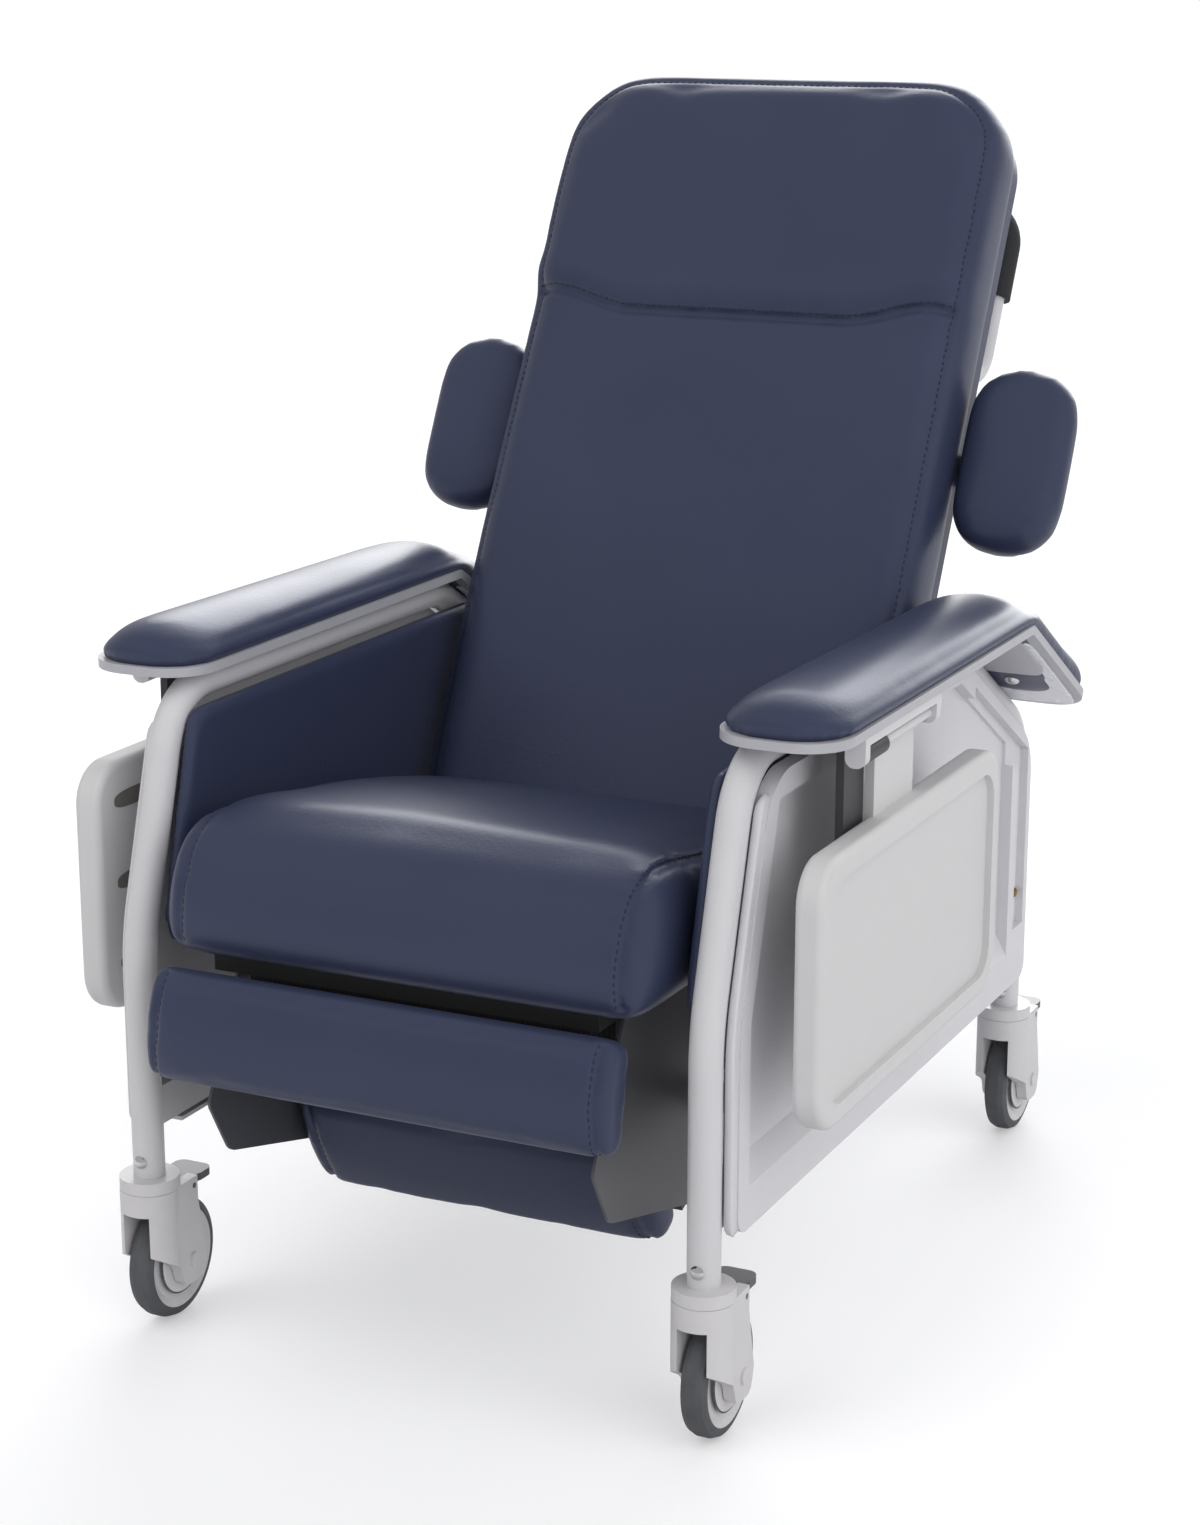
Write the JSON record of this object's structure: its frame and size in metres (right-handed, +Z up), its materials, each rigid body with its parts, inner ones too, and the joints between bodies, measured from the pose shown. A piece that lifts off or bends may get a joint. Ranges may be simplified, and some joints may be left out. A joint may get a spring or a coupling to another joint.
{
  "type": "clinical recliner",
  "caption": "Wheeled clinical recliner with padded seat, reclining back, folding leg rest, sliding side wings, padded armrests and drop-down side trays.",
  "frame": {"origin": "on the floor, midway between the outermost points in width and depth, back upright and leg rest folded", "axes": "+X to the seated person's left, +Y to the back of the chair, +Z up"},
  "size_m": [0.796, 1.1263, 1.202],
  "materials": {
    "vinyl": "grained satin vinyl",
    "frame_paint": "gloss",
    "dark_steel": "satin",
    "panel": "fine texture",
    "tray": "satin",
    "arm_base": "satin",
    "shield": "satin",
    "board": "black stained plywood",
    "back_shell": "satin",
    "caster": "satin",
    "tyre": "matt",
    "steel": "zinc plated",
    "chrome": "polished",
    "grip": "matt foam"
  },
  "bodies": {
    "chassis": {"side_frame_left": "frame_paint", "side_frame_right": "frame_paint", "base_rails": "frame_paint", "cross_tubes": "frame_paint", "seat_side_plates": "dark_steel", "seat_board": "board", "seat_cushion": "vinyl", "arm_lining_left": "vinyl", "arm_lining_right": "vinyl", "side_panel_left": "panel", "side_panel_right": "panel", "armrest_base_left": "arm_base", "armrest_base_right": "arm_base", "armrest_pad_left": "vinyl", "armrest_pad_right": "vinyl", "tray_hinge_brackets": "dark_steel", "caster_stems": "caster", "leg_bolts": "chrome", "leg_shields": "shield"},
    "back": {"back_cushion": "vinyl", "back_board": "back_shell", "back_hinge_plates": "dark_steel", "push_handle": "frame_paint", "push_grip": "grip", "wing_tracks": "steel"},
    "drive_link": {"drive_links": "steel"},
    "lower_leg": {"lower_leg_pad": "vinyl", "lower_leg_frame": "dark_steel"},
    "unfold_link": {"unfold_links": "steel"},
    "front_leg": {"front_leg_pad": "vinyl", "front_leg_frame": "dark_steel"},
    "tray_left": {"tray_left": "tray", "tray_arm_left": "dark_steel"},
    "wing_left": {"wing_pad_left": "vinyl", "wing_bracket_left": "steel"},
    "tray_right": {"tray_right": "tray", "tray_arm_right": "dark_steel"},
    "wing_right": {"wing_pad_right": "vinyl", "wing_bracket_right": "steel"},
    "swivel_front_left": {"caster_fork_front_left": "caster", "caster_axle_front_left": "steel"},
    "wheel_front_left": {"wheel_core_front_left": "caster", "wheel_tyre_front_left": "tyre"},
    "pedal_front_left": {"brake_pedal_front_left": "shield"},
    "swivel_front_right": {"caster_fork_front_right": "caster", "caster_axle_front_right": "steel"},
    "wheel_front_right": {"wheel_core_front_right": "caster", "wheel_tyre_front_right": "tyre"},
    "pedal_front_right": {"brake_pedal_front_right": "shield"},
    "swivel_rear_left": {"caster_fork_rear_left": "caster", "caster_axle_rear_left": "steel"},
    "wheel_rear_left": {"wheel_core_rear_left": "caster", "wheel_tyre_rear_left": "tyre"},
    "pedal_rear_left": {"brake_pedal_rear_left": "shield"},
    "swivel_rear_right": {"caster_fork_rear_right": "caster", "caster_axle_rear_right": "steel"},
    "wheel_rear_right": {"wheel_core_rear_right": "caster", "wheel_tyre_rear_right": "tyre"},
    "pedal_rear_right": {"brake_pedal_rear_right": "shield"}
  },
  "joints": [
    {"name": "recline", "type": "hinge", "parent": "chassis", "child": "back", "pos_m": [0, 0.099, 0.31], "axis": [-1, 0, 0], "range_deg": [0, 38]},
    {"name": "drive_swing", "type": "hinge", "parent": "back", "child": "drive_link", "pos_m": [0, 0.11473, 0.26677], "axis": [1, 0, 0], "range_deg": [0, 40]},
    {"name": "lower_leg_swing", "type": "hinge", "parent": "chassis", "child": "lower_leg", "pos_m": [0, -0.39, 0.378], "axis": [-1, 0, 0], "range_deg": [0, 118]},
    {"name": "unfold", "type": "hinge", "parent": "lower_leg", "child": "unfold_link", "pos_m": [0, -0.31282, 0.22653], "axis": [1, 0, 0], "range_deg": [0, 151]},
    {"name": "front_leg_swing", "type": "hinge", "parent": "unfold_link", "child": "front_leg", "pos_m": [0, -0.498, 0.345], "axis": [-1, 0, 0], "range_deg": [0, 113]},
    {"name": "tray_swing_left", "type": "hinge", "parent": "chassis", "child": "tray_left", "pos_m": [0.384, -0.225, 0.636], "axis": [0, -1, 0], "range_deg": [0, 90]},
    {"name": "wing_slide_left", "type": "slide", "parent": "back", "child": "wing_left", "axis": [0, 0.4695, 0.8829], "range_m": [0, 0.085]},
    {"name": "tray_swing_right", "type": "hinge", "parent": "chassis", "child": "tray_right", "pos_m": [-0.384, -0.225, 0.636], "axis": [0, 1, 0], "range_deg": [0, 90]},
    {"name": "wing_slide_right", "type": "slide", "parent": "back", "child": "wing_right", "axis": [0, 0.4695, 0.8829], "range_m": [0, 0.085]},
    {"name": "swivel_front_left", "type": "hinge", "parent": "chassis", "child": "swivel_front_left", "pos_m": [0.3015, -0.47, 0.14], "axis": [0, 0, 1], "continuous": true},
    {"name": "roll_front_left", "type": "hinge", "parent": "swivel_front_left", "child": "wheel_front_left", "pos_m": [0.3015, -0.437, 0.0625], "axis": [1, 0, 0], "continuous": true},
    {"name": "brake_front_left", "type": "hinge", "parent": "swivel_front_left", "child": "pedal_front_left", "pos_m": [0.3015, -0.432, 0.1406], "axis": [-1, 0, 0], "range_deg": [0, 12]},
    {"name": "swivel_front_right", "type": "hinge", "parent": "chassis", "child": "swivel_front_right", "pos_m": [-0.3015, -0.47, 0.14], "axis": [0, 0, 1], "continuous": true},
    {"name": "roll_front_right", "type": "hinge", "parent": "swivel_front_right", "child": "wheel_front_right", "pos_m": [-0.3015, -0.437, 0.0625], "axis": [1, 0, 0], "continuous": true},
    {"name": "brake_front_right", "type": "hinge", "parent": "swivel_front_right", "child": "pedal_front_right", "pos_m": [-0.3015, -0.432, 0.1406], "axis": [-1, 0, 0], "range_deg": [0, 12]},
    {"name": "swivel_rear_left", "type": "hinge", "parent": "chassis", "child": "swivel_rear_left", "pos_m": [0.3015, 0.387, 0.14], "axis": [0, 0, 1], "continuous": true},
    {"name": "roll_rear_left", "type": "hinge", "parent": "swivel_rear_left", "child": "wheel_rear_left", "pos_m": [0.3015, 0.42, 0.0625], "axis": [1, 0, 0], "continuous": true},
    {"name": "brake_rear_left", "type": "hinge", "parent": "swivel_rear_left", "child": "pedal_rear_left", "pos_m": [0.3015, 0.425, 0.1406], "axis": [-1, 0, 0], "range_deg": [0, 12]},
    {"name": "swivel_rear_right", "type": "hinge", "parent": "chassis", "child": "swivel_rear_right", "pos_m": [-0.3015, 0.387, 0.14], "axis": [0, 0, 1], "continuous": true},
    {"name": "roll_rear_right", "type": "hinge", "parent": "swivel_rear_right", "child": "wheel_rear_right", "pos_m": [-0.3015, 0.42, 0.0625], "axis": [1, 0, 0], "continuous": true},
    {"name": "brake_rear_right", "type": "hinge", "parent": "swivel_rear_right", "child": "pedal_rear_right", "pos_m": [-0.3015, 0.425, 0.1406], "axis": [-1, 0, 0], "range_deg": [0, 12]}
  ],
  "couplings": [
    {"joint": "drive_swing", "follows": "recline", "ratio": 1.0225},
    {"joint": "lower_leg_swing", "follows": "recline", "ratio": 3.0789},
    {"joint": "unfold", "follows": "recline", "ratio": 3.9368},
    {"joint": "front_leg_swing", "follows": "recline", "ratio": 2.9447}
  ]
}
